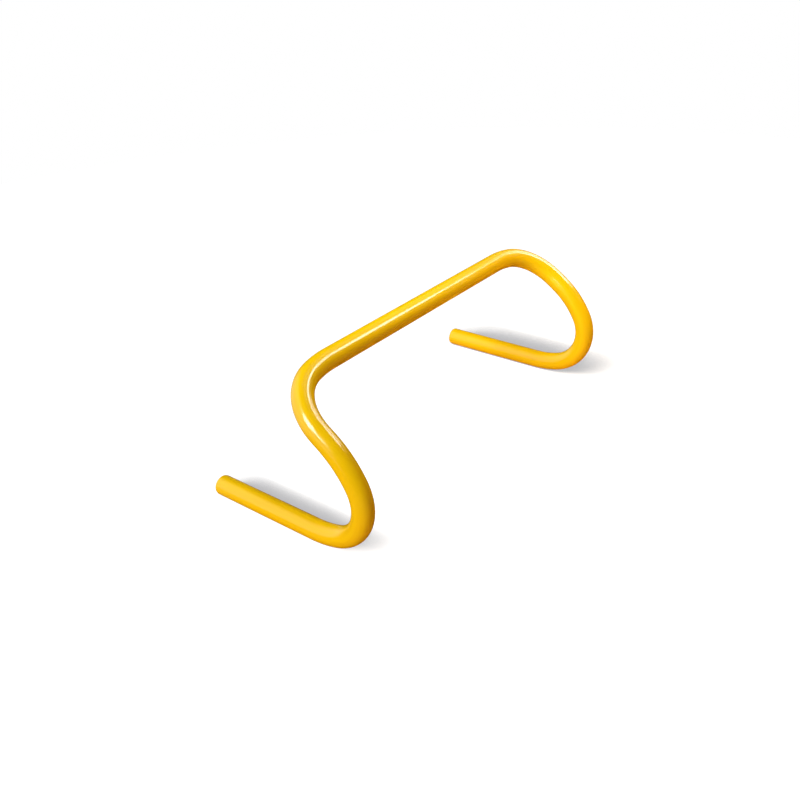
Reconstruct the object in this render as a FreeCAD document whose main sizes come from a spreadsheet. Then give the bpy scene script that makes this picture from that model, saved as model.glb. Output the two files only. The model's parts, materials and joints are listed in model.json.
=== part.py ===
"""Speed hurdle: one bent plastic tube that stands on two straight feet, with a plug in each free end.

The tube is drawn for the left half and mirrored. +X runs along the crossbar, +Y points to the free ends
of the feet and +Z up. The origin is on the floor, at the middle of the part's footprint.
"""
import FreeCAD
import Part
import Sketcher
import math
import os

# Driving sizes: lengths in millimetres, angles in degrees
SIZES = (
    ("tube_diameter", 20.0, "outside of the tube"),
    ("tube_wall", 2.0, "wall of the tube"),
    ("tube_edge_break", 0.4, "chamfer round the sawn ends of the tube"),
    ("foot_spacing", 393.0, "from the axis of one foot to the other"),
    ("foot_run", 121.0, "straight foot, from the sawn end to the heel"),
    ("heel_radius", 45.0, "main stretch of the heel bend"),
    ("heel_ease_radius", 95.0, "gentle first and last stretch of the heel bend"),
    ("heel_start_angle", 17.0, "turn of the first stretch"),
    ("heel_end_angle", 27.0, "turn of the last stretch"),
    ("leg_lean_angle", 36.0, "slope of the leg above the floor"),
    ("leg_run", 8.0, "straight stretch of the leg"),
    ("shoulder_start_radius", 56.0, "gentle first stretch of the shoulder bend"),
    ("shoulder_start_angle", 23.0, "turn of that stretch"),
    ("shoulder_radius", 47.0, "main stretch of the shoulder bend"),
    ("shoulder_end_radius", 110.0, "gentle last stretch of the shoulder bend"),
    ("shoulder_end_angle", 13.0, "turn of that stretch"),
    ("plug_flange", 1.6, "thickness of the plug's flange"),
    ("plug_flange_inset", 0.3, "step from the tube's outside in to the flange"),
    ("plug_flange_round", 1.0, "rounded rim of the flange"),
    ("plug_shank", 14.0, "length of the plug inside the tube"),
    ("plug_wall", 1.6, "wall of the plug's hollow shank"),
    ("plug_clearance", 0.05, "gap between the plug's ribs and the bore"),
    ("plug_rib_height", 0.5, "height of a grip rib above the shank"),
    ("plug_rib_width", 1.4, "length of a grip rib along the shank"),
)
PLUG_RIBS = 3

# Places that follow from the driving sizes, each built on the ones above it
PLACES = (
    ("tube_radius", "Sizes.tube_diameter / 2"),
    ("bore_radius", "tube_radius - Sizes.tube_wall"),
    ("heel_step", "Sizes.heel_ease_radius - Sizes.heel_radius"),
    ("heel_shift", "heel_step * sin(Sizes.heel_start_angle)"),
    ("heel_drop", "heel_step * cos(Sizes.heel_start_angle)"),
    ("heel_reach", "heel_shift + Sizes.heel_radius + tube_radius"),
    ("heel_y", "(heel_reach - Sizes.foot_run - Sizes.plug_flange) / 2"),
    ("foot_x", "-Sizes.foot_spacing / 2"),
    ("foot_end_y", "heel_y + Sizes.foot_run"),
    ("heel_centre_y", "heel_y - heel_shift"),
    ("heel_centre_z", "tube_radius + Sizes.heel_ease_radius - heel_drop"),
    ("heel_end_slope", "Sizes.leg_lean_angle + Sizes.heel_end_angle"),
    ("heel_end_centre_y", "heel_centre_y + heel_step * sin(heel_end_slope)"),
    ("heel_end_centre_z", "heel_centre_z - heel_step * cos(heel_end_slope)"),
    ("leg_base_y", "heel_end_centre_y - Sizes.heel_ease_radius * sin(Sizes.leg_lean_angle)"),
    ("leg_base_z", "heel_end_centre_z + Sizes.heel_ease_radius * cos(Sizes.leg_lean_angle)"),
    ("leg_top_y", "leg_base_y + Sizes.leg_run * cos(Sizes.leg_lean_angle)"),
    ("leg_top_z", "leg_base_z + Sizes.leg_run * sin(Sizes.leg_lean_angle)"),
    ("shoulder_start_step", "Sizes.shoulder_start_radius - Sizes.shoulder_radius"),
    ("shoulder_end_step", "Sizes.shoulder_end_radius - Sizes.shoulder_radius"),
    ("shoulder_start_rise", "shoulder_start_step * sin(Sizes.shoulder_start_angle)"),
    ("shoulder_end_fall", "shoulder_end_step * cos(Sizes.shoulder_end_angle)"),
    ("shoulder_rise", "shoulder_start_rise - shoulder_end_fall + Sizes.shoulder_end_radius"),
    ("bar_y", "leg_top_y + shoulder_rise * cos(Sizes.leg_lean_angle)"),
    ("bar_z", "leg_top_z + shoulder_rise * sin(Sizes.leg_lean_angle)"),
    ("flange_radius", "tube_radius - Sizes.plug_flange_inset"),
    ("rib_radius", "bore_radius - Sizes.plug_clearance"),
    ("shank_radius", "rib_radius - Sizes.plug_rib_height"),
    ("hollow_radius", "shank_radius - Sizes.plug_wall"),
    ("rib_pitch", f"Sizes.plug_shank / {PLUG_RIBS}"),
    ("rib_near", "(Sizes.plug_rib_width - rib_pitch) / 2"),
    ("rib_far", "rib_near - Sizes.plug_rib_width"),
)

# Codes for the points of a line or arc, and for a sketch's own axes and their origin
START, END, CENTRE = range(1, 4)
H_AXIS, V_AXIS = range(-1, -3, -1)
ORIGIN = H_AXIS
QUARTER = math.pi / 2


def make_sheets(doc):
    """Write the driving sizes and the places worked out from them into two sheets."""
    sizes = doc.addObject("Spreadsheet::Sheet", "Sizes")
    for row, (name, value, words) in enumerate(SIZES, start=1):
        sizes.set(f"A{row}", name)
        sizes.set(f"B{row}", str(value))
        sizes.set(f"C{row}", words)
        sizes.setAlias(f"B{row}", name)
    doc.recompute()
    places = doc.addObject("Spreadsheet::Sheet", "Places")
    for row, (name, formula) in enumerate(PLACES, start=1):
        places.set(f"A{row}", name)
        places.set(f"B{row}", "=" + formula)
        places.setAlias(f"B{row}", name)
        doc.recompute()
    return sizes, places


def origin_plane(body, role):
    """Return one of the body's own origin planes."""
    return next(item for item in body.Origin.OriginFeatures if item.Role == role)


def add_sketch(body, name, role):
    """Start a sketch on one of the body's origin planes."""
    sketch = body.newObject("Sketcher::SketchObject", name)
    sketch.AttachmentSupport = [(origin_plane(body, role), "")]
    sketch.MapMode = "FlatFace"
    return sketch


def bind(sketch, name, formula, *constraint):
    """Add one constraint with a name and drive its value by a formula."""
    index = sketch.addConstraint(Sketcher.Constraint(*constraint))
    sketch.renameConstraint(index, name)
    sketch.setExpression("Constraints." + name, formula)


def add_arc(sketch, centre, radius, start, end):
    """Add an arc that runs anticlockwise from one angle to the other, in radians."""
    circle = Part.Circle(centre, FreeCAD.Vector(0, 0, 1), radius)
    return sketch.addGeometry(Part.ArcOfCircle(circle, start, end))


def add_line(sketch, start, end):
    """Add a straight run between two points."""
    return sketch.addGeometry(Part.LineSegment(start, end))


def polar(centre, radius, angle):
    """Return the point at an angle on a circle in the sketch plane."""
    return centre + FreeCAD.Vector(radius * math.cos(angle), radius * math.sin(angle), 0)


def draw_leg_route(body, sizes, places):
    """Draw the axis of the left foot, heel and straight leg, in the upright plane through the foot."""
    sketch = add_sketch(body, "leg_route", "YZ_Plane")
    sketch.setExpression("AttachmentOffset.Base.z", "Places.foot_x")
    ease_radius = sizes.heel_ease_radius
    first_turn = math.radians(sizes.heel_start_angle)
    last_turn = math.radians(sizes.heel_end_angle)
    lean = math.radians(sizes.leg_lean_angle)
    bend_first = -QUARTER - first_turn
    bend_last = lean + last_turn - 3 * QUARTER
    foot_end = FreeCAD.Vector(places.foot_end_y, places.tube_radius, 0)
    heel = FreeCAD.Vector(places.heel_y, places.tube_radius, 0)
    start_centre = heel + FreeCAD.Vector(0, ease_radius, 0)
    heel_centre = FreeCAD.Vector(places.heel_centre_y, places.heel_centre_z, 0)
    end_centre = FreeCAD.Vector(places.heel_end_centre_y, places.heel_end_centre_z, 0)
    leg_base = FreeCAD.Vector(places.leg_base_y, places.leg_base_z, 0)
    leg_top = FreeCAD.Vector(places.leg_top_y, places.leg_top_z, 0)

    foot = add_line(sketch, foot_end, heel)
    bend_start = add_arc(sketch, start_centre, ease_radius, bend_first, -QUARTER)
    bend = add_arc(sketch, heel_centre, sizes.heel_radius, bend_last, bend_first)
    bend_end = add_arc(sketch, end_centre, ease_radius, bend_last - last_turn, bend_last)
    leg = add_line(sketch, leg_base, leg_top)

    sketch.addConstraint(Sketcher.Constraint("Tangent", foot, END, bend_start, END))
    sketch.addConstraint(Sketcher.Constraint("Tangent", bend_start, START, bend, END))
    sketch.addConstraint(Sketcher.Constraint("Tangent", bend, START, bend_end, END))
    sketch.addConstraint(Sketcher.Constraint("Tangent", bend_end, START, leg, START))
    sketch.addConstraint(Sketcher.Constraint("Horizontal", foot))
    bind(sketch, "end_y", "Places.foot_end_y", "DistanceX", ORIGIN, START, foot, START, foot_end.x)
    bind(sketch, "end_z", "Places.tube_radius", "DistanceY", ORIGIN, START, foot, START, foot_end.y)
    bind(sketch, "foot", "Sizes.foot_run", "Distance", foot, sizes.foot_run)
    bind(sketch, "start_radius", "Sizes.heel_ease_radius", "Radius", bend_start, ease_radius)
    bind(sketch, "start_turn", "Sizes.heel_start_angle", "Angle", bend_start, first_turn)
    bind(sketch, "radius", "Sizes.heel_radius", "Radius", bend, sizes.heel_radius)
    bind(sketch, "end_radius", "Sizes.heel_ease_radius", "Radius", bend_end, ease_radius)
    bind(sketch, "end_turn", "Sizes.heel_end_angle", "Angle", bend_end, last_turn)
    bind(sketch, "lean", "Sizes.leg_lean_angle", "Angle", leg, lean)
    bind(sketch, "leg", "Sizes.leg_run", "Distance", leg, sizes.leg_run)
    return sketch


def draw_shoulder_route(body, sizes, places):
    """Draw the axis of the left shoulder and half the crossbar, in the plane that leans with the legs."""
    sketch = add_sketch(body, "shoulder_route", "XY_Plane")
    lean_axis = FreeCAD.Vector(1, 0, 0)
    rotation = FreeCAD.Rotation(lean_axis, sizes.leg_lean_angle)
    sketch.AttachmentOffset = FreeCAD.Placement(FreeCAD.Vector(), rotation)
    sketch.setExpression("AttachmentOffset.Base.y", "Places.leg_top_y")
    sketch.setExpression("AttachmentOffset.Base.z", "Places.leg_top_z")
    sketch.setExpression("AttachmentOffset.Rotation.Angle", "Sizes.leg_lean_angle")
    start_radius = sizes.shoulder_start_radius
    end_radius = sizes.shoulder_end_radius
    first = 2 * QUARTER - math.radians(sizes.shoulder_start_angle)
    last = QUARTER + math.radians(sizes.shoulder_end_angle)
    start_centre = FreeCAD.Vector(places.foot_x + start_radius, 0, 0)
    centre = polar(start_centre, places.shoulder_start_step, first)
    end_centre = polar(centre, -places.shoulder_end_step, last)
    bar_end = end_centre + FreeCAD.Vector(0, end_radius, 0)
    bar_middle = FreeCAD.Vector(0, bar_end.y, 0)

    bend_start = add_arc(sketch, start_centre, start_radius, first, 2 * QUARTER)
    bend = add_arc(sketch, centre, sizes.shoulder_radius, last, first)
    bend_end = add_arc(sketch, end_centre, end_radius, QUARTER, last)
    bar = add_line(sketch, bar_end, bar_middle)

    sketch.addConstraint(Sketcher.Constraint("Tangent", bend_start, START, bend, END))
    sketch.addConstraint(Sketcher.Constraint("Tangent", bend, START, bend_end, END))
    sketch.addConstraint(Sketcher.Constraint("Tangent", bend_end, START, bar, START))
    sketch.addConstraint(Sketcher.Constraint("PointOnObject", bend_start, CENTRE, H_AXIS))
    sketch.addConstraint(Sketcher.Constraint("PointOnObject", bend_start, END, H_AXIS))
    sketch.addConstraint(Sketcher.Constraint("PointOnObject", bar, END, V_AXIS))
    sketch.addConstraint(Sketcher.Constraint("Horizontal", bar))
    bind(sketch, "foot_x", "Places.foot_x", "DistanceX", ORIGIN, START, bend_start, END, places.foot_x)
    bind(sketch, "start_radius", "Sizes.shoulder_start_radius", "Radius", bend_start, start_radius)
    bind(sketch, "start_turn", "Sizes.shoulder_start_angle", "Angle", bend_start, 2 * QUARTER - first)
    bind(sketch, "radius", "Sizes.shoulder_radius", "Radius", bend, sizes.shoulder_radius)
    bind(sketch, "end_radius", "Sizes.shoulder_end_radius", "Radius", bend_end, end_radius)
    bind(sketch, "end_turn", "Sizes.shoulder_end_angle", "Angle", bend_end, last - QUARTER)
    return sketch


def draw_ring(body, name, role, places):
    """Draw the tube's section, two circles about the sketch's own origin."""
    sketch = add_sketch(body, name, role)
    for place, radius in (("tube_radius", places.tube_radius), ("bore_radius", places.bore_radius)):
        circle = sketch.addGeometry(Part.Circle(FreeCAD.Vector(), FreeCAD.Vector(0, 0, 1), radius))
        sketch.addConstraint(Sketcher.Constraint("Coincident", circle, CENTRE, ORIGIN, START))
        bind(sketch, place, "Places." + place, "Radius", circle, radius)
    return sketch


def add_pipe(body, name, profile, route):
    """Carry the tube's section along a route."""
    pipe = body.newObject("PartDesign::AdditivePipe", name)
    pipe.Profile = (profile, [""])
    pipe.Spine = (route, [""])
    pipe.Mode = "Frenet"
    return pipe


def round_edges(shape, radius, y):
    """Name the round edges of one radius that lie at one place along Y."""
    names = []
    for index, edge in enumerate(shape.Edges, start=1):
        curve = edge.Curve
        if not isinstance(curve, Part.Circle):
            continue
        if math.isclose(curve.Radius, radius) and math.isclose(curve.Center.y, y):
            names.append(f"Edge{index}")
    return names


def make_tube(doc, sizes, places):
    """Build the whole bent tube: left half along its two routes, mirrored, with the sawn ends chamfered."""
    body = doc.addObject("PartDesign::Body", "bent_tube")
    leg_route = draw_leg_route(body, sizes, places)
    foot_ring = draw_ring(body, "foot_ring", "XZ_Plane", places)
    foot_ring.setExpression("AttachmentOffset.Base.x", "Places.foot_x")
    foot_ring.setExpression("AttachmentOffset.Base.y", "Places.tube_radius")
    foot_ring.setExpression("AttachmentOffset.Base.z", "-Places.foot_end_y")
    leg_pipe = add_pipe(body, "leg_pipe", foot_ring, leg_route)

    shoulder_route = draw_shoulder_route(body, sizes, places)
    bar_ring = draw_ring(body, "bar_ring", "YZ_Plane", places)
    bar_ring.setExpression("AttachmentOffset.Base.x", "Places.bar_y")
    bar_ring.setExpression("AttachmentOffset.Base.y", "Places.bar_z")
    bar_pipe = add_pipe(body, "bar_pipe", bar_ring, shoulder_route)
    doc.recompute()

    halves = body.newObject("PartDesign::Mirrored", "halves")
    halves.Originals = [leg_pipe, bar_pipe]
    halves.MirrorPlane = (origin_plane(body, "YZ_Plane"), [""])
    body.Tip = halves
    doc.recompute()

    ends = body.newObject("PartDesign::Chamfer", "sawn_ends")
    ends.Base = (halves, round_edges(halves.Shape, places.tube_radius, places.foot_end_y))
    ends.setExpression("Size", "Sizes.tube_edge_break")
    body.Tip = ends
    return body


def draw_outline(sketch, corners):
    """Draw a closed outline; each corner is (formula for x, formula for y, x, y), with None for zero."""
    count = len(corners)
    points = [FreeCAD.Vector(x, y, 0) for _, _, x, y in corners]
    lines = [add_line(sketch, points[i], points[(i + 1) % count]) for i in range(count)]
    for i, line in enumerate(lines):
        following = lines[(i + 1) % count]
        sketch.addConstraint(Sketcher.Constraint("Coincident", line, END, following, START))
    for i, (x_formula, y_formula, x, y) in enumerate(corners):
        line = lines[i]
        if x_formula is None:
            sketch.addConstraint(Sketcher.Constraint("PointOnObject", line, START, V_AXIS))
        else:
            bind(sketch, f"x{i}", x_formula, "DistanceX", ORIGIN, START, line, START, x)
        if y_formula is None:
            sketch.addConstraint(Sketcher.Constraint("PointOnObject", line, START, H_AXIS))
        else:
            bind(sketch, f"y{i}", y_formula, "DistanceY", ORIGIN, START, line, START, y)


def revolve(body, name, sketch):
    """Turn an outline right round the sketch's upright axis."""
    feature = body.newObject("PartDesign::Revolution", name)
    feature.Profile = (sketch, [""])
    feature.ReferenceAxis = (sketch, ["V_Axis"])
    return feature


def make_plug(doc, sizes, places, name, foot_x):
    """Build one end plug: a flange that seats on the sawn end and a hollow shank with grip ribs."""
    body = doc.addObject("PartDesign::Body", name)
    body.setExpression("Placement.Base.x", foot_x)
    body.setExpression("Placement.Base.y", "Places.foot_end_y")
    body.setExpression("Placement.Base.z", "Places.tube_radius")

    section = add_sketch(body, name + "_section", "XY_Plane")
    draw_outline(section, (
        (None, None, 0, 0),
        ("Places.hollow_radius", None, places.hollow_radius, 0),
        ("Places.hollow_radius", "-Sizes.plug_shank", places.hollow_radius, -sizes.plug_shank),
        ("Places.shank_radius", "-Sizes.plug_shank", places.shank_radius, -sizes.plug_shank),
        ("Places.shank_radius", None, places.shank_radius, 0),
        ("Places.flange_radius", None, places.flange_radius, 0),
        ("Places.flange_radius", "Sizes.plug_flange", places.flange_radius, sizes.plug_flange),
        (None, "Sizes.plug_flange", 0, sizes.plug_flange),
    ))
    turned = revolve(body, name + "_turned", section)

    rib_section = add_sketch(body, name + "_rib_section", "XY_Plane")
    draw_outline(rib_section, (
        ("Places.hollow_radius", "Places.rib_near", places.hollow_radius, places.rib_near),
        ("Places.hollow_radius", "Places.rib_far", places.hollow_radius, places.rib_far),
        ("Places.shank_radius", "Places.rib_far", places.shank_radius, places.rib_far),
        ("Places.rib_radius", "Places.rib_near", places.rib_radius, places.rib_near),
    ))
    rib = revolve(body, name + "_rib", rib_section)
    doc.recompute()

    ribs = body.newObject("PartDesign::LinearPattern", name + "_ribs")
    ribs.Originals = [rib]
    ribs.Direction = (rib_section, ["V_Axis"])
    ribs.Reversed = True
    ribs.Occurrences = PLUG_RIBS
    ribs.setExpression("Length", f"Places.rib_pitch * {PLUG_RIBS - 1}")
    body.Tip = ribs
    doc.recompute()

    rim = body.newObject("PartDesign::Fillet", name + "_rim")
    rim.Base = (ribs, round_edges(ribs.Shape, places.flange_radius, sizes.plug_flange))
    rim.setExpression("Radius", "Sizes.plug_flange_round")
    body.Tip = rim
    return body


def check(doc, bodies):
    """Stop if any object failed or any piece has no sound solid."""
    for item in doc.Objects:
        faults = [word for word in item.State if word in ("Invalid", "Error")]
        if faults:
            raise RuntimeError(f"{item.Label}: {faults}")
    for body in bodies:
        if body.Shape.isNull() or not body.Shape.isValid() or len(body.Shape.Solids) != 1:
            raise RuntimeError(f"{body.Label}: no sound solid")


def main():
    """Build the hurdle's three pieces and write one file for each."""
    doc = FreeCAD.newDocument("speed_hurdle")
    sizes, places = make_sheets(doc)
    bodies = [
        make_tube(doc, sizes, places),
        make_plug(doc, sizes, places, "left_end_plug", "Places.foot_x"),
        make_plug(doc, sizes, places, "right_end_plug", "-Places.foot_x"),
    ]
    doc.recompute()
    check(doc, bodies)
    os.makedirs("parts", exist_ok=True)
    for body in bodies:
        body.Shape.exportStep(f"parts/{body.Label}.step")
        box = body.Shape.BoundBox
        print(body.Label, "volume", round(body.Shape.Volume, 1), "box", box)


main()
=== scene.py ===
"""Looks of a speed hurdle: one bent tube of glossy yellow PVC, with a moulded plug in each end.

Sizes are in millimetres and angles in degrees, and MM turns a size into Blender's metres. The
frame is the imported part's own: +X along the crossbar, +Y towards the free ends of the feet, +Z up,
and the floor at zero.
"""

import json
import logging
import math
from dataclasses import dataclass, field
from enum import Enum
from typing import Any, ClassVar

import bpy
from mathutils import Matrix, Vector

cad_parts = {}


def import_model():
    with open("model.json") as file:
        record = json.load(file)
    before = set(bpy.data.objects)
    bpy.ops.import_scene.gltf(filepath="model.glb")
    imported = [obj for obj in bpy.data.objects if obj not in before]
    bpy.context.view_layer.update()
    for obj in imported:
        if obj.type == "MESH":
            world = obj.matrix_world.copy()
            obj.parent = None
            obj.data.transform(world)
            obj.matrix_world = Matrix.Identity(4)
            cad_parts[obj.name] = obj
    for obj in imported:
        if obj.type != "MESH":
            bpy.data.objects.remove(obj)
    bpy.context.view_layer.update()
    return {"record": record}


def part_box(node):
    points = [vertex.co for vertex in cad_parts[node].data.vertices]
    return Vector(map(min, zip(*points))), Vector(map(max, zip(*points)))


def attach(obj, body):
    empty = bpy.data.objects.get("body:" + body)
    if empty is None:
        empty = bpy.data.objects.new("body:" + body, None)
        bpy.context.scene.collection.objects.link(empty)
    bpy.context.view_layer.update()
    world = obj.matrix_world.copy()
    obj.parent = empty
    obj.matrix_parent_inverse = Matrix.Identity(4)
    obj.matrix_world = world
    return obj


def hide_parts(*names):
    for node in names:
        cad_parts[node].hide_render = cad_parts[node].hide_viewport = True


MM = 0.001
QUARTER_TURN = 90.0
HALF_TURN = 180.0
BODY = "root"
RIGHTWARD = Vector((1, 0, 0))
BACKWARD = Vector((0, 1, 0))
UPWARD = Vector((0, 0, 1))

# A strength or a scale that changes nothing
FULL = 1.0

# The sRGB curve: straight up to the knee, then a power
HEX_TOP = 255
SRGB_KNEE = 0.04045
SRGB_SLOPE = 12.92
SRGB_OFFSET = 0.055
SRGB_POWER = 2.4

# A Mix node's sockets share their names among its data types, so they go by number
NUMBER_A, NUMBER_B, NUMBER_MIXED = 2, 3, 0
COLOUR_A, COLOUR_B, COLOUR_MIXED = 6, 7, 2

log = logging.getLogger("speed_hurdle")
Colour = tuple[float, float, float, float]
SectionPoint = tuple[float, float]


class Use(Enum):
    """What a light is hung for."""

    BODY = "body colour"
    GLOSS = "reflections"
    BOTH = "body colour and reflections"


class Side(Enum):
    """The two halves of the hurdle, with the sign of their X."""

    LEFT = -1
    RIGHT = 1


def linear(code: str) -> Colour:
    """Turn an sRGB hex colour into linear light.

    Args:
        code: a hash sign and six hex digits.

    Returns:
        Red, green and blue in linear light, and an alpha of one.
    """
    shares = [int(code[at:at + 2], 16) / HEX_TOP for at in (1, 3, 5)]
    red, green, blue = (
        share / SRGB_SLOPE if share <= SRGB_KNEE
        else ((share + SRGB_OFFSET) / (1 + SRGB_OFFSET)) ** SRGB_POWER
        for share in shares
    )
    return red, green, blue, 1.0


def per(size: float) -> float:
    """Give the texture scale whose pattern repeats about once in a size."""
    return 1 / (size * MM)


def add_node(
    tree: bpy.types.NodeTree, kind: str, feeds: dict[Any, Any], **settings: Any,
) -> bpy.types.Node:
    """Add one node with its settings, and fill its inputs.

    Args:
        tree: the node tree that takes the node.
        kind: the node's type name.
        feeds: what goes into each input, by its name or number: a value, or another node's output
            to link.
        settings: the node's own options.

    Returns:
        The new node.
    """
    node = tree.nodes.new(kind)
    for option, value in settings.items():
        setattr(node, option, value)
    for key, feed in feeds.items():
        if isinstance(feed, bpy.types.NodeSocket):
            tree.links.new(feed, node.inputs[key])
        else:
            node.inputs[key].default_value = feed
    return node


def new_material(name: str) -> bpy.types.Material:
    """Start a material with an empty node tree.

    Args:
        name: the real material's name.

    Returns:
        The material.
    """
    material = bpy.data.materials.new(name)
    material.use_nodes = True
    material.node_tree.nodes.clear()
    return material


def link_object(name: str, data: bpy.types.ID) -> bpy.types.Object:
    """Make an object from its data and put it in the scene.

    Args:
        name: the object's name.
        data: its mesh, curve, light or camera.

    Returns:
        The object, at the origin.
    """
    made = bpy.data.objects.new(name, data)
    bpy.context.scene.collection.objects.link(made)
    return made


def arc(
    centre: SectionPoint, radius: float, start: float, turn: float, steps: int,
) -> list[SectionPoint]:
    """Draw a round corner of a section.

    Args:
        centre: the corner's centre, as its distance from the axis and along it.
        radius: the corner's radius.
        start: the angle of its first point, from straight out towards forward along the axis.
        turn: how far it turns, negative for clockwise.
        steps: how many stretches it is drawn in.

    Returns:
        The corner's points, both ends among them.
    """
    angles = [math.radians(start + turn * step / steps) for step in range(steps + 1)]
    return [(centre[0] + radius * math.cos(a), centre[1] + radius * math.sin(a)) for a in angles]


# Finishes


@dataclass(frozen=True)
class ExtrudedPvc:
    """PVC tube, coloured right through, extruded and bent hot.

    The die leaves a hard gloss with faint lines along the tube, and the pigment runs in long soft
    streaks. The gloss is duller in patches where hands rub it, and scuffed in a narrow strip where
    the feet lie on the floor. Real die lines are too fine to show, so they are drawn coarser.
    """

    name: str = "glossy_extruded_yellow_pvc"
    yellow: str = "#F3CA0C"
    streak_yellow: str = "#E4B006"
    scuff_yellow: str = "#EDC04A"
    ior: float = 1.53
    roughness: float = 0.13
    dull_roughness: float = 0.22
    scuff_roughness: float = 0.42
    streak_width: float = 5.0
    streak_length: float = 160.0
    streak_detail: float = 3.0
    die_line_width: float = 1.2
    die_line_length: float = 400.0
    die_line_depth: float = 0.002
    peel_width: float = 2.5
    peel_depth: float = 0.001
    relief_detail: float = 1.0
    rub_width: float = 22.0
    rub_detail: float = 5.0
    rub_breakup: float = 0.6
    rub_start: float = 0.35
    rub_full: float = 0.75
    scuff_height: float = 1.6
    scuff_grain: float = 1.5
    scuff_detail: float = 4.0

    def material(self) -> bpy.types.Material:
        """Build the node tree.

        Returns:
            The tube's material, which reads the tube's straight coordinates and its own object's.
        """
        made = new_material(self.name)
        tree = made.node_tree
        straight = add_node(
            tree, "ShaderNodeAttribute", {}, attribute_name=RoundSweep.STRAIGHT,
        ).outputs["Vector"]
        place = add_node(tree, "ShaderNodeTexCoord", {}).outputs["Object"]

        # Pigment streaks: patches drawn out along the tube
        streak_scale = (per(self.streak_width), per(self.streak_width), per(self.streak_length))
        along = add_node(tree, "ShaderNodeMapping", {"Vector": straight, "Scale": streak_scale})
        streaks = add_node(tree, "ShaderNodeTexNoise", {
            "Vector": along.outputs[0], "Scale": FULL, "Detail": self.streak_detail,
        })
        body_colour = add_node(tree, "ShaderNodeMix", {
            "Factor": streaks.outputs["Fac"],
            COLOUR_A: linear(self.yellow), COLOUR_B: linear(self.streak_yellow),
        }, data_type="RGBA")

        # Scuffed strip: the lowest line of the feet, broken up by a fine grain
        height = add_node(tree, "ShaderNodeSeparateXYZ", {"Vector": place}).outputs["Z"]
        low = add_node(tree, "ShaderNodeMapRange", {
            "Value": height, "From Min": 0.0, "From Max": self.scuff_height * MM,
            "To Min": 1.0, "To Max": 0.0,
        })
        grain = add_node(tree, "ShaderNodeTexNoise", {
            "Vector": place, "Scale": per(self.scuff_grain), "Detail": self.scuff_detail,
        })
        scuff = add_node(tree, "ShaderNodeMath", {
            0: low.outputs["Result"], 1: grain.outputs["Fac"],
        }, operation="MULTIPLY", use_clamp=True)
        colour = add_node(tree, "ShaderNodeMix", {
            "Factor": scuff.outputs[0],
            COLOUR_A: body_colour.outputs[COLOUR_MIXED], COLOUR_B: linear(self.scuff_yellow),
        }, data_type="RGBA")

        # Gloss: dull patches from handling, then the scuffed strip
        rubs = add_node(tree, "ShaderNodeTexNoise", {
            "Vector": place, "Scale": per(self.rub_width),
            "Detail": self.rub_detail, "Roughness": self.rub_breakup,
        })
        gloss = add_node(tree, "ShaderNodeMapRange", {
            "Value": rubs.outputs["Fac"], "From Min": self.rub_start, "From Max": self.rub_full,
            "To Min": self.roughness, "To Max": self.dull_roughness,
        })
        roughness = add_node(tree, "ShaderNodeMix", {
            "Factor": scuff.outputs[0],
            NUMBER_A: gloss.outputs["Result"], NUMBER_B: self.scuff_roughness,
        }, data_type="FLOAT")

        # Relief: die lines along the tube over a faint orange peel
        line_scale = (
            per(self.die_line_width), per(self.die_line_width), per(self.die_line_length),
        )
        lengthwise = add_node(tree, "ShaderNodeMapping", {"Vector": straight, "Scale": line_scale})
        lines = add_node(tree, "ShaderNodeTexNoise", {
            "Vector": lengthwise.outputs[0], "Scale": FULL, "Detail": self.relief_detail,
        })
        peel = add_node(tree, "ShaderNodeTexNoise", {
            "Vector": place, "Scale": per(self.peel_width), "Detail": self.relief_detail,
        })
        peel_bump = add_node(tree, "ShaderNodeBump", {
            "Height": peel.outputs["Fac"], "Distance": self.peel_depth * MM, "Strength": FULL,
        })
        line_bump = add_node(tree, "ShaderNodeBump", {
            "Height": lines.outputs["Fac"], "Distance": self.die_line_depth * MM, "Strength": FULL,
            "Normal": peel_bump.outputs["Normal"],
        })

        shader = add_node(tree, "ShaderNodeBsdfPrincipled", {
            "Base Color": colour.outputs[COLOUR_MIXED],
            "Roughness": roughness.outputs[NUMBER_MIXED], "IOR": self.ior,
            "Normal": line_bump.outputs["Normal"],
        })
        add_node(tree, "ShaderNodeOutputMaterial", {"Surface": shader.outputs[0]})
        return made


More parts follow.
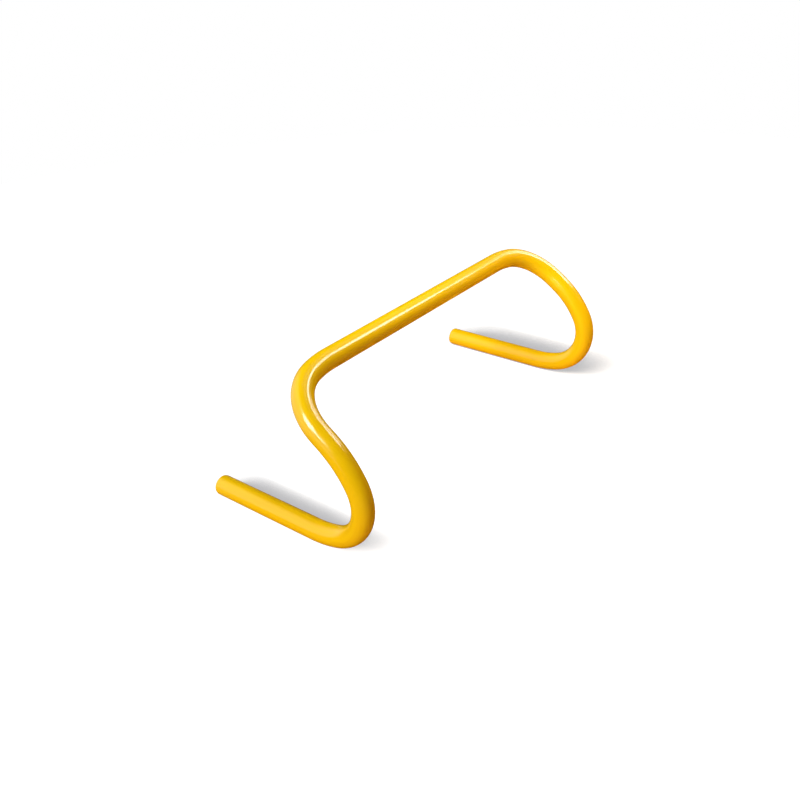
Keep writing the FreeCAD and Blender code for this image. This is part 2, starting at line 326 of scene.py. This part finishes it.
@dataclass(frozen=True)
class MouldedPolythene:
    """Polythene, injection moulded in a spark-eroded tool.

    The tool's fine pits leave a satin face with no sharp reflections. The plastic flowed out from
    the middle, which shows as a slightly deeper cloudy yellow. The pits are drawn several times
    coarser than real ones.
    """

    name: str = "satin_moulded_yellow_polythene"
    yellow: str = "#EEBC0A"
    cloud_yellow: str = "#E6B008"
    ior: float = 1.51
    roughness: float = 0.36
    worn_roughness: float = 0.48
    cloud_width: float = 6.0
    cloud_detail: float = 3.0
    wear_start: float = 0.3
    wear_full: float = 0.7
    pit_width: float = 0.35
    pit_depth: float = 0.02
    pit_detail: float = 2.0
    pit_strength: float = 0.6

    def material(self) -> bpy.types.Material:
        """Build the node tree.

        Returns:
            The plugs' material, on Object coordinates.
        """
        made = new_material(self.name)
        tree = made.node_tree
        place = add_node(tree, "ShaderNodeTexCoord", {}).outputs["Object"]
        clouds = add_node(tree, "ShaderNodeTexNoise", {
            "Vector": place, "Scale": per(self.cloud_width), "Detail": self.cloud_detail,
        })
        colour = add_node(tree, "ShaderNodeMix", {
            "Factor": clouds.outputs["Fac"],
            COLOUR_A: linear(self.yellow), COLOUR_B: linear(self.cloud_yellow),
        }, data_type="RGBA")
        wear = add_node(tree, "ShaderNodeMapRange", {
            "Value": clouds.outputs["Fac"],
            "From Min": self.wear_start, "From Max": self.wear_full,
            "To Min": self.roughness, "To Max": self.worn_roughness,
        })
        pits = add_node(tree, "ShaderNodeTexNoise", {
            "Vector": place, "Scale": per(self.pit_width), "Detail": self.pit_detail,
        })
        bump = add_node(tree, "ShaderNodeBump", {
            "Height": pits.outputs["Fac"], "Distance": self.pit_depth * MM,
            "Strength": self.pit_strength,
        })
        shader = add_node(tree, "ShaderNodeBsdfPrincipled", {
            "Base Color": colour.outputs[COLOUR_MIXED],
            "Roughness": wear.outputs["Result"], "IOR": self.ior,
            "Normal": bump.outputs["Normal"],
        })
        add_node(tree, "ShaderNodeOutputMaterial", {"Surface": shader.outputs[0]})
        return made


@dataclass(frozen=True)
class UnderlitAcrylic:
    """White acrylic table top, lit from below, as used for cut-out pictures.

    Seen directly it glows white, and a share of the lamps' light falls on it too. Beside the tube,
    on the side away from the window, it has painted shadows: a grey glow takes over where an ambient
    occlusion node, looking towards that side, finds the tube near by. They reach further and are
    deeper beside the right foot. What the top throws back on the part is dimmer, with a painted warm
    tint that stands in for the part's own yellow. In the part's gloss the top shows a painted
    reflection: it glows pale on its far side and dark on its near side.
    """

    name: str = "underlit_white_acrylic"
    seen_white: str = "#F3F3F3"
    # Painted shadow: the grey that the top glows beside the tube
    painted_shadow_grey: str = "#BEBEC0"
    lamp_share: str = "#989898"
    # Painted warm tint of what the top throws back, standing in for the part's yellow
    painted_warm_bounce: str = "#F6C89A"
    # Painted reflection in the part's gloss: dark near the part, pale further back
    painted_pale_reflection: str = "#BEBEBE"
    painted_dark_reflection: str = "#120C06"
    dark_reflection_edge: float = 60.0
    dark_reflection_fade: float = 160.0
    # Where the painted shadow reaches, which way it looks, and how soon it is fully grey
    left_reach: float = 34.0
    right_reach: float = 74.0
    reach_span: float = 200.0
    shadow_from: tuple[float, float, float] = (-0.95, -0.05, -0.1)
    open_share: float = 0.99
    left_shut: float = 0.68
    right_shut: float = 0.82
    shadow_samples: int = 32

    def material(self) -> bpy.types.Material:
        """Build the node tree.

        Returns:
            The floor's material, on Object coordinates.
        """
        made = new_material(self.name)
        made.cycles.emission_sampling = "NONE"
        tree = made.node_tree

        # Seen directly: white, with a painted shadow of grey where the tube shuts off the window's
        # side near by
        place = add_node(tree, "ShaderNodeTexCoord", {}).outputs["Object"]
        spot = add_node(tree, "ShaderNodeSeparateXYZ", {"Vector": place}).outputs
        span = self.reach_span * MM
        reaches = (self.left_reach * MM, self.right_reach * MM)
        reach, shut = (
            add_node(tree, "ShaderNodeMapRange", {
                "Value": spot["X"], "From Min": -span, "From Max": span,
                "To Min": left, "To Max": right,
            }).outputs["Result"]
            for left, right in (reaches, (self.left_shut, self.right_shut))
        )
        # The side that the painted shadow's occlusion looks towards
        window = add_node(
            tree, "ShaderNodeCombineXYZ", dict(zip("XYZ", self.shadow_from)),
        ).outputs[0]
        nearness = add_node(tree, "ShaderNodeAmbientOcclusion", {
            "Distance": reach, "Normal": window,
        }, samples=self.shadow_samples).outputs["AO"]
        # How much of the top is clear of the painted shadow
        lit = add_node(tree, "ShaderNodeMapRange", {
            "Value": nearness, "From Min": shut, "From Max": self.open_share,
        }, interpolation_type="SMOOTHSTEP").outputs["Result"]
        # Glows: the painted shadow's grey, and the open top's white
        painted_shadow, below = (
            add_node(tree, "ShaderNodeEmission", {
                "Color": linear(colour), "Strength": FULL,
            }).outputs[0]
            for colour in (self.painted_shadow_grey, self.seen_white)
        )

        # The lamps' share keeps grain off the tube, which the denoiser leaves beside a plain glow
        # The second colour is the top's for bounce light alone: a painted warm tint
        above, painted_bounce = (
            add_node(tree, "ShaderNodeBsdfDiffuse", {"Color": linear(colour)}).outputs[0]
            for colour in (self.lamp_share, self.painted_warm_bounce)
        )
        white = add_node(tree, "ShaderNodeAddShader", {0: below, 1: above}).outputs[0]
        seen = add_node(tree, "ShaderNodeMixShader", {0: lit, 1: painted_shadow, 2: white}).outputs[0]

        # Painted reflection in the part's gloss: a dark glow near by, a pale one beyond
        beyond = add_node(tree, "ShaderNodeMapRange", {
            "Value": spot["Y"], "From Min": self.dark_reflection_edge * MM,
            "From Max": (self.dark_reflection_edge + self.dark_reflection_fade) * MM,
        }, interpolation_type="SMOOTHSTEP").outputs["Result"]
        sheen = add_node(tree, "ShaderNodeMix", {
            "Factor": beyond,
            COLOUR_A: linear(self.painted_dark_reflection), COLOUR_B: linear(self.painted_pale_reflection),
        }, data_type="RGBA").outputs[COLOUR_MIXED]
        mirrored = add_node(tree, "ShaderNodeEmission", {
            "Color": sheen, "Strength": FULL,
        }).outputs[0]

        ray = add_node(tree, "ShaderNodeLightPath", {}).outputs
        unseen = add_node(tree, "ShaderNodeMixShader", {
            0: ray["Is Diffuse Ray"], 1: mirrored, 2: painted_bounce,
        }).outputs[0]
        mixed = add_node(tree, "ShaderNodeMixShader", {
            0: ray["Is Camera Ray"], 1: unseen, 2: seen,
        }).outputs[0]
        add_node(tree, "ShaderNodeOutputMaterial", {"Surface": mixed})
        return made


# Route and sweep


@dataclass
class Route:
    """The axis of a tube, traced as straight runs and bends from its first end."""

    points: list[Vector]
    heading: Vector
    step: float = 3.0

    def run(self, length: float) -> None:
        """Go straight on.

        Args:
            length: how far.
        """
        count = math.ceil(length / self.step)
        for _ in range(count):
            self.points.append(self.points[-1] + self.heading * (length / count))

    def bend(self, radius: float, angle: float, axis: Vector) -> None:
        """Follow a round bend.

        Args:
            radius: the bend's radius, at the tube's axis.
            angle: how far the route turns.
            axis: the direction that it turns about, by the right hand.
        """
        turn = math.radians(angle)
        count = math.ceil(radius * turn / self.step)
        arm = axis.cross(self.heading) * -radius
        centre = self.points[-1] - arm
        for index in range(1, count + 1):
            self.points.append(centre + Matrix.Rotation(turn * index / count, 3, axis) @ arm)
        self.heading = Matrix.Rotation(turn, 3, axis) @ self.heading

    def mirror(self) -> None:
        """Add the mirror image of all but the last point, which lies in the middle."""
        self.points += [Vector((-p.x, p.y, p.z)) for p in reversed(self.points[:-1])]

    def stations(self) -> list[float]:
        """Measure the route.

        Returns:
            Each point's distance along the route.
        """
        found = [0.0]
        for start, end in zip(self.points, self.points[1:]):
            found.append(found[-1] + (end - start).length)
        return found

    def curve(self) -> bpy.types.Object:
        """Draw the route.

        Returns:
            A curve object through the points.
        """
        data = bpy.data.curves.new("route", "CURVE")
        data.dimensions = "3D"
        spline = data.splines.new("POLY")
        spline.points.add(len(self.points) - 1)
        for knot, point in zip(spline.points, self.points):
            knot.co = (*(point * MM), 1.0)
        return link_object("route", data)


@dataclass
class RoundSweep:
    """Geometry Nodes that carry a section right round a route and along it.

    A section is a line of points, each a distance out from the route and a distance along it.
    Where the line runs forwards its faces point outwards, and where it runs back, as in a bore,
    they point inwards.
    """

    STRAIGHT: ClassVar[str] = "straight"

    sides: int = 72
    weld: float = 0.002
    crease: float = 40.0
    tree: bpy.types.GeometryNodeTree = field(init=False)

    def __post_init__(self) -> None:
        """Build the node tree once for all pieces."""
        self.tree = bpy.data.node_groups.new("round_sweep", "GeometryNodeTree")
        sockets = (
            ("Route", "INPUT", "NodeSocketObject"),
            ("Section", "INPUT", "NodeSocketObject"),
            ("Sides", "INPUT", "NodeSocketInt"),
            ("Weld", "INPUT", "NodeSocketFloat"),
            ("Crease", "INPUT", "NodeSocketFloat"),
            ("Finish", "INPUT", "NodeSocketMaterial"),
            ("Geometry", "OUTPUT", "NodeSocketGeometry"),
        )
        for name, way, kind in sockets:
            self.tree.interface.new_socket(name, in_out=way, socket_type=kind)
        self._fill()

    def _fill(self) -> None:
        """Add the nodes: a sheet, its places, its straight coordinates, then welds and finish."""
        tree = self.tree
        given = add_node(tree, "NodeGroupInput", {}).outputs
        route, section = (
            add_node(tree, "GeometryNodeObjectInfo", {"Object": given[name]}).outputs["Geometry"]
            for name in ("Route", "Section")
        )

        # A flat sheet: once round across its width, and a row of points for each section point
        rows = add_node(tree, "GeometryNodeAttributeDomainSize", {
            "Geometry": section,
        }).outputs["Point Count"]
        columns = add_node(tree, "ShaderNodeMath", {
            0: given["Sides"], 1: 1.0,
        }, operation="ADD").outputs[0]
        sheet = add_node(tree, "GeometryNodeMeshGrid", {
            "Vertices X": columns, "Vertices Y": rows,
        }).outputs
        share = add_node(tree, "ShaderNodeSeparateXYZ", {"Vector": sheet["UV Map"]}).outputs
        angle = add_node(tree, "ShaderNodeMath", {
            0: share["X"], 1: math.tau,
        }, operation="MULTIPLY").outputs[0]
        last = add_node(tree, "ShaderNodeMath", {0: rows, 1: 1.0}, operation="SUBTRACT").outputs[0]
        row = add_node(tree, "ShaderNodeMath", {
            0: share["Y"], 1: last,
        }, operation="MULTIPLY").outputs[0]
        index = add_node(tree, "ShaderNodeMath", {0: row}, operation="ROUND").outputs[0]

        # The section's point for the row, and the route's own place and directions there
        spot = add_node(tree, "GeometryNodeInputPosition", {}).outputs[0]
        picked = add_node(tree, "GeometryNodeSampleIndex", {
            "Geometry": section, "Value": spot, "Index": index,
        }, data_type="FLOAT_VECTOR", clamp=True).outputs["Value"]
        drawn = add_node(tree, "ShaderNodeSeparateXYZ", {"Vector": picked}).outputs
        there = add_node(tree, "GeometryNodeSampleCurve", {
            "Curves": route, "Length": drawn["Z"],
        }, mode="LENGTH").outputs
        across = add_node(tree, "ShaderNodeVectorMath", {
            0: there["Tangent"], 1: there["Normal"],
        }, operation="CROSS_PRODUCT").outputs[0]

        # Out from the route by the section's distance, turned to the angle
        turned = [
            add_node(tree, "ShaderNodeMath", {0: angle}, operation=word).outputs[0]
            for word in ("COSINE", "SINE")
        ]
        reach = [
            add_node(tree, "ShaderNodeMath", {
                0: part, 1: drawn["X"],
            }, operation="MULTIPLY").outputs[0]
            for part in turned
        ]
        placed = there["Position"]
        for way, length in zip((there["Normal"], across), reach):
            arm = add_node(tree, "ShaderNodeVectorMath", {
                0: way, "Scale": length,
            }, operation="SCALE").outputs[0]
            placed = add_node(tree, "ShaderNodeVectorMath", {
                0: placed, 1: arm,
            }, operation="ADD").outputs[0]

        # Where each point was while the tube was still straight, for patterns that follow it
        straight = add_node(tree, "ShaderNodeCombineXYZ", {
            "X": reach[0], "Y": reach[1], "Z": drawn["Z"],
        }).outputs[0]
        noted = add_node(tree, "GeometryNodeStoreNamedAttribute", {
            "Geometry": sheet["Mesh"], "Name": self.STRAIGHT, "Value": straight,
        }, data_type="FLOAT_VECTOR", domain="POINT").outputs[0]
        swept = add_node(tree, "GeometryNodeSetPosition", {
            "Geometry": noted, "Position": placed,
        }).outputs[0]
        welded = add_node(tree, "GeometryNodeMergeByDistance", {
            "Geometry": swept, "Distance": given["Weld"],
        }).outputs[0]

        # Smooth faces, with hard edges where the section turns sharply
        fold = add_node(tree, "GeometryNodeInputMeshEdgeAngle", {}).outputs["Unsigned Angle"]
        soft = add_node(tree, "ShaderNodeMath", {
            0: fold, 1: given["Crease"],
        }, operation="LESS_THAN").outputs[0]
        smooth = add_node(tree, "GeometryNodeSetShadeSmooth", {
            0: welded,
        }, domain="FACE").outputs[0]
        creased = add_node(tree, "GeometryNodeSetShadeSmooth", {
            0: smooth, "Shade Smooth": soft,
        }, domain="EDGE").outputs[0]
        whole = add_node(tree, "GeometryNodeRealizeInstances", {0: creased}).outputs[0]
        dressed = add_node(tree, "GeometryNodeSetMaterial", {
            "Geometry": whole, "Material": given["Finish"],
        }).outputs[0]
        add_node(tree, "NodeGroupOutput", {"Geometry": dressed})

    def piece(
        self, name: str, route: Route, section: list[SectionPoint], material: bpy.types.Material,
    ) -> bpy.types.Object:
        """Sweep one piece and make it a plain mesh.

        Args:
            name: the piece's name.
            route: the axis that it follows.
            section: its section, as distances out and along.
            material: its finish.

        Returns:
            The piece, at the origin, with its place in its mesh.
        """
        outline = bpy.data.meshes.new("section")
        corners = [(out * MM, 0, along * MM) for out, along in section]
        outline.from_pydata(corners, [(at, at + 1) for at in range(len(section) - 1)], [])
        helpers = [route.curve(), link_object("section", outline)]
        made = link_object(name, bpy.data.meshes.new(name))
        modifier = made.modifiers.new("round_sweep", "NODES")
        modifier.node_group = self.tree
        inputs = {
            "Route": helpers[0], "Section": helpers[1], "Sides": self.sides,
            "Weld": self.weld * MM, "Crease": math.radians(self.crease), "Finish": material,
        }
        for item in self.tree.interface.items_tree:
            if item.name in inputs:
                modifier[item.identifier] = inputs[item.name]
        graph = bpy.context.evaluated_depsgraph_get()
        mesh = bpy.data.meshes.new_from_object(
            made.evaluated_get(graph), preserve_all_data_layers=True, depsgraph=graph,
        )
        made.modifiers.remove(modifier)
        empty = made.data
        made.data = mesh
        bpy.data.meshes.remove(empty)
        mesh.name = name
        for helper in helpers:
            bpy.data.objects.remove(helper)
        return made


# The hurdle's pieces


@dataclass
class BentTube:
    """One length of tube: two feet, two heels, two leaning legs, two shoulders and the crossbar."""

    finish: ExtrudedPvc
    radius: float
    foot_x: float
    foot_end: float
    wall: float = 2.0
    edge_round: float = 0.4
    edge_steps: int = 4
    foot_run: float = 121.0
    heel_radius: float = 45.0
    heel_ease_radius: float = 95.0
    heel_start_angle: float = 17.0
    heel_end_angle: float = 27.0
    leg_lean: float = 36.0
    leg_run: float = 8.0
    shoulder_start_radius: float = 56.0
    shoulder_start_angle: float = 23.0
    shoulder_radius: float = 47.0
    shoulder_end_radius: float = 110.0
    shoulder_end_angle: float = 13.0

    @property
    def bore(self) -> float:
        """The radius of the tube's inside."""
        return self.radius - self.wall

    @property
    def heel_middle_angle(self) -> float:
        """The turn that is left for the heel's tight middle."""
        return HALF_TURN - self.leg_lean - self.heel_start_angle - self.heel_end_angle

    @property
    def shoulder_middle_angle(self) -> float:
        """The turn that is left for the shoulder's tight middle."""
        return QUARTER_TURN - self.shoulder_start_angle - self.shoulder_end_angle

    def route(self) -> Route:
        """Trace the tube's axis from the left free end to the right one.

        Returns:
            The whole route.
        """
        axis = Route([Vector((-self.foot_x, self.foot_end, self.radius))], -BACKWARD)
        axis.run(self.foot_run)
        axis.bend(self.heel_ease_radius, self.heel_start_angle, -RIGHTWARD)
        axis.bend(self.heel_radius, self.heel_middle_angle, -RIGHTWARD)
        axis.bend(self.heel_ease_radius, self.heel_end_angle, -RIGHTWARD)
        axis.run(self.leg_run)
        over = axis.heading.cross(RIGHTWARD)
        axis.bend(self.shoulder_start_radius, self.shoulder_start_angle, over)
        axis.bend(self.shoulder_radius, self.shoulder_middle_angle, over)
        axis.bend(self.shoulder_end_radius, self.shoulder_end_angle, over)
        axis.run(-axis.points[-1].x)
        axis.mirror()
        return axis

    def section(self, stations: list[float]) -> list[SectionPoint]:
        """Draw the wall as a closed line: out along the outside, back along the bore.

        Args:
            stations: the distances along the route that get a ring of points.

        Returns:
            The section.
        """
        length = stations[-1]
        edge = self.edge_round
        corner = self.radius - edge
        middle = [s for s in stations if edge < s < length - edge]
        outside = [(self.radius, s) for s in middle]
        inside = [(self.bore, s) for s in reversed(middle)]
        first_edge = arc((corner, edge), edge, -QUARTER_TURN, QUARTER_TURN, self.edge_steps)
        last_edge = arc((corner, length - edge), edge, 0, QUARTER_TURN, self.edge_steps)
        first, last = (self.bore, 0.0), (self.bore, length)
        return [first, *first_edge, *outside, *last_edge, last, *inside, first]

    def build(self, sweep: RoundSweep) -> bpy.types.Object:
        """Make the tube, dress it and let it stand for its CAD node.

        Args:
            sweep: the nodes that carry the section along the route.

        Returns:
            The piece.
        """
        route = self.route()
        section = self.section(route.stations())
        piece = sweep.piece("glossy_tube", route, section, self.finish.material())
        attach(piece, BODY)
        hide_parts("bent_tube")
        return piece


@dataclass
class EndPlug:
    """A push-in plug: a flange seats on the sawn end, and a hollow shank grips with barbed ribs."""

    tube: BentTube
    material: bpy.types.Material
    flange: float = 1.6
    flange_inset: float = 0.3
    flange_round: float = 1.0
    round_steps: int = 6
    gate_radius: float = 1.5
    gate_depth: float = 0.3
    shank: float = 14.0
    wall: float = 1.6
    clearance: float = 0.05
    ribs: int = 3
    rib_height: float = 0.5
    rib_width: float = 1.4

    def section(self) -> list[SectionPoint]:
        """Draw the plug from the floor of its hollow round to the middle of its face.

        Returns:
            The section, with the shank's open end at zero.
        """
        rib_radius = self.tube.bore - self.clearance
        shank_radius = rib_radius - self.rib_height
        hollow_radius = shank_radius - self.wall
        rim = self.tube.radius - self.flange_inset
        face = self.shank + self.flange
        pitch = self.shank / self.ribs
        points = [
            (0.0, self.shank), (hollow_radius, self.shank), (hollow_radius, 0.0),
            (shank_radius, 0.0),
        ]
        for rib in range(self.ribs):
            start = pitch * rib + (pitch - self.rib_width) / 2
            end = start + self.rib_width
            points += [(shank_radius, start), (rib_radius, end), (shank_radius, end)]
        points += [(shank_radius, self.shank), (rim, self.shank)]
        centre = (rim - self.flange_round, face - self.flange_round)
        points += arc(centre, self.flange_round, 0, QUARTER_TURN, self.round_steps)

        # The mark of the mould's gate: a shallow dish in the middle of the face
        slope = self.gate_depth / self.gate_radius
        dish = arc((0.0, 0.0), self.gate_radius, 0, QUARTER_TURN, self.round_steps)
        points += [(out, face - along * slope) for out, along in dish[:-1]]
        points.append((0.0, face - self.gate_depth))
        return points

    def build(self, sweep: RoundSweep, side: Side) -> bpy.types.Object:
        """Make the plug of one foot, dress it and let it stand for its CAD node.

        Args:
            sweep: the nodes that carry the section along the route.
            side: which foot.

        Returns:
            The piece.
        """
        name = side.name.lower()
        tube = self.tube
        start = Vector((tube.foot_x * side.value, tube.foot_end - self.shank, tube.radius))
        route = Route([start], BACKWARD)
        route.run(self.shank + self.flange)
        piece = sweep.piece(f"{name}_plug", route, self.section(), self.material)
        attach(piece, BODY)
        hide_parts(f"{name}_end_plug")
        return piece


# The set


def toward(azimuth: float, elevation: float) -> Vector:
    """Give the direction from the part to a place round it.

    Args:
        azimuth: degrees round from the front, -Y, towards +X.
        elevation: degrees above the floor.

    Returns:
        The direction, one long.
    """
    around, above = math.radians(azimuth), math.radians(elevation)
    flat = RIGHTWARD * math.sin(around) - BACKWARD * math.cos(around)
    return flat * math.cos(above) + UPWARD * math.sin(above)


def facing(target: Vector, azimuth: float, elevation: float, distance: float) -> Matrix:
    """Place a light or a camera so that it faces a point.

    Args:
        target: the point.
        azimuth: degrees round from the front, -Y, towards +X.
        elevation: degrees above the floor.
        distance: how far off it stands.

    Returns:
        Its place and turn in the scene.
    """
    away = toward(azimuth, elevation)
    turn = away.to_track_quat("Z", "Y").to_matrix().to_4x4()
    return Matrix.Translation((target + away * distance) * MM) @ turn


@dataclass(frozen=True)
class Softbox:
    """A square soft light that faces the part."""

    name: str
    azimuth: float
    elevation: float
    distance: float
    size: float
    strength: float
    use: Use
    colour: str = "#FFFFFF"

    @property
    def watts(self) -> float:
        """The power that gives a white card at the part, square to the light, this strength."""
        return self.strength * (math.pi * self.distance * MM) ** 2

    def hang(self, target: Vector) -> bpy.types.Object:
        """Put the light in the scene.

        Args:
            target: the point that it faces.

        Returns:
            The light.
        """
        data = bpy.data.lights.new(self.name, "AREA")
        data.shape = "SQUARE"
        data.size = self.size * MM
        data.energy = self.watts
        data.color = linear(self.colour)[:3]
        light = link_object(self.name, data)
        light.matrix_world = facing(target, self.azimuth, self.elevation, self.distance)
        light.visible_camera = False
        light.visible_diffuse = self.use is not Use.GLOSS
        light.visible_glossy = self.use is not Use.BODY
        return light


@dataclass(frozen=True)
class GlossCard:
    """A round pale card, far off, that shows in the part's gloss alone.

    Its radius and the fade across its edge are angles, as the part sees them.
    """

    azimuth: float
    elevation: float
    radius: float
    fade: float
    brightness: float

    def sheen(self, tree: bpy.types.NodeTree, way: bpy.types.NodeSocket) -> bpy.types.NodeSocket:
        """Add the nodes that find the card in a direction.

        Args:
            tree: the room's node tree.
            way: the direction looked in.

        Returns:
            How bright the card is in that direction.
        """
        middle = tuple(toward(self.azimuth, self.elevation))
        nearness = add_node(tree, "ShaderNodeVectorMath", {
            0: way, 1: middle,
        }, operation="DOT_PRODUCT").outputs["Value"]
        half = self.fade / 2
        outer, inner = (
            math.cos(math.radians(edge)) for edge in (self.radius + half, self.radius - half)
        )
        return add_node(tree, "ShaderNodeMapRange", {
            "Value": nearness, "From Min": outer, "From Max": inner, "To Max": self.brightness,
        }, interpolation_type="SMOOTHSTEP").outputs["Result"]


@dataclass
class Studio:
    """A pale table top, soft lights and a dim room with pale cards for the gloss."""

    top: UnderlitAcrylic
    target: Vector = field(default_factory=lambda: Vector((0, -20, 80)))
    floor_radius: float = 1500.0
    floor_sides: int = 128
    room_seen: str = "#FFFFFF"
    room_grey: str = "#303030"
    card_white: str = "#FFFFFF"
    boxes: tuple[Softbox, ...] = (
        Softbox(
            "left_window", azimuth=-96, elevation=37, distance=8000, size=3700,
            strength=1.07, use=Use.BOTH,
        ),
        Softbox(
            "overhead", azimuth=0, elevation=89, distance=400, size=220,
            strength=0.57, use=Use.BODY,
        ),
        Softbox(
            "right_fill", azimuth=63, elevation=26, distance=500, size=220,
            strength=0.44, use=Use.BODY, colour="#FFDCAE",
        ),
        Softbox(
            "right_strip", azimuth=63, elevation=41, distance=8000, size=2000,
            strength=0.24, use=Use.GLOSS,
        ),
    )
    cards: tuple[GlossCard, ...] = (
        GlossCard(azimuth=-140, elevation=10, radius=50, fade=30, brightness=1.15),
        GlossCard(azimuth=85, elevation=26, radius=9, fade=8, brightness=5.0),
        GlossCard(azimuth=95, elevation=32, radius=20, fade=10, brightness=0.4),
    )

    def lay_floor(self) -> bpy.types.Object:
        """Make the round table top.

        Returns:
            The floor.
        """
        radius = self.floor_radius * MM
        turns = [math.tau * side / self.floor_sides for side in range(self.floor_sides)]
        rim = [(math.cos(turn) * radius, math.sin(turn) * radius, 0) for turn in turns]
        mesh = bpy.data.meshes.new("table_top")
        mesh.from_pydata(rim, [], [list(range(self.floor_sides))])
        mesh.materials.append(self.top.material())
        floor = link_object("table_top", mesh)
        return floor

    def light(self) -> None:
        """Hang the softboxes, and set the room's own dim light and the cards in it."""
        for box in self.boxes:
            box.hang(self.target)
        world = bpy.data.worlds.new("studio_room")
        world.use_nodes = True
        tree = world.node_tree
        tree.nodes.clear()
        way = add_node(tree, "ShaderNodeTexCoord", {}).outputs["Generated"]
        glint = self.cards[0].sheen(tree, way)
        for card in self.cards[1:]:
            found = card.sheen(tree, way)
            glint = add_node(tree, "ShaderNodeMath", {
                0: glint, 1: found,
            }, operation="ADD").outputs[0]
        seen, dim, mirrored = (
            add_node(tree, "ShaderNodeBackground", {
                "Color": linear(colour), "Strength": strength,
            }).outputs[0]
            for colour, strength in (
                (self.room_seen, FULL), (self.room_grey, FULL), (self.card_white, glint),
            )
        )
        ray = add_node(tree, "ShaderNodeLightPath", {}).outputs
        unseen = add_node(tree, "ShaderNodeMixShader", {
            0: ray["Is Glossy Ray"], 1: dim, 2: mirrored,
        }).outputs[0]
        mixed = add_node(tree, "ShaderNodeMixShader", {
            0: ray["Is Camera Ray"], 1: unseen, 2: seen,
        }).outputs[0]
        add_node(tree, "ShaderNodeOutputWorld", {"Surface": mixed})
        bpy.context.scene.world = world
        bpy.context.scene.view_settings.view_transform = "Standard"


@dataclass(frozen=True)
class PhotoCamera:
    """The camera at the photograph's viewing angle, for a square picture."""

    azimuth: float = -50.58
    elevation: float = 29.61
    roll: float = -3.39
    distance: float = 830.7
    aim: tuple[float, float, float] = (-40.73, -4.21, 59.93)
    lens: float = 37.39
    sensor: float = 36.0
    near_share: float = 0.01

    def place(self) -> bpy.types.Object:
        """Put the camera in the scene and use it.

        Returns:
            The camera.
        """
        data = bpy.data.cameras.new("photo_camera")
        data.lens = self.lens
        data.sensor_width = self.sensor
        data.clip_start = self.distance * MM * self.near_share
        camera = link_object("photo_camera", data)
        stand = facing(Vector(self.aim), self.azimuth, self.elevation, self.distance)
        camera.matrix_world = stand @ Matrix.Rotation(math.radians(self.roll), 4, "Z")
        bpy.context.scene.camera = camera
        return camera


def main() -> None:
    """Build the hurdle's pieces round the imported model, then the set and the camera."""
    logging.basicConfig(level=logging.INFO, format="%(name)s: %(message)s")
    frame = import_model()

    foot = next(mount for mount in frame["record"]["mounts"] if mount["name"] == "left_foot")
    tube = BentTube(
        finish=ExtrudedPvc(),
        radius=foot["dims"]["r_mm"],
        foot_x=-foot["pos_m"][0] / MM,
        foot_end=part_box("bent_tube")[1][1] / MM,
    )
    sweep = RoundSweep()
    pieces = [tube.build(sweep)]
    plug = EndPlug(tube, MouldedPolythene().material())
    pieces += [plug.build(sweep, side) for side in Side]
    for piece in pieces:
        log.info("%s: %d faces", piece.name, len(piece.data.polygons))

    studio = Studio(UnderlitAcrylic())
    log.info("%s laid", studio.lay_floor().name)
    studio.light()
    log.info("%s placed", PhotoCamera().place().name)


if __name__ == "__main__":
    main()
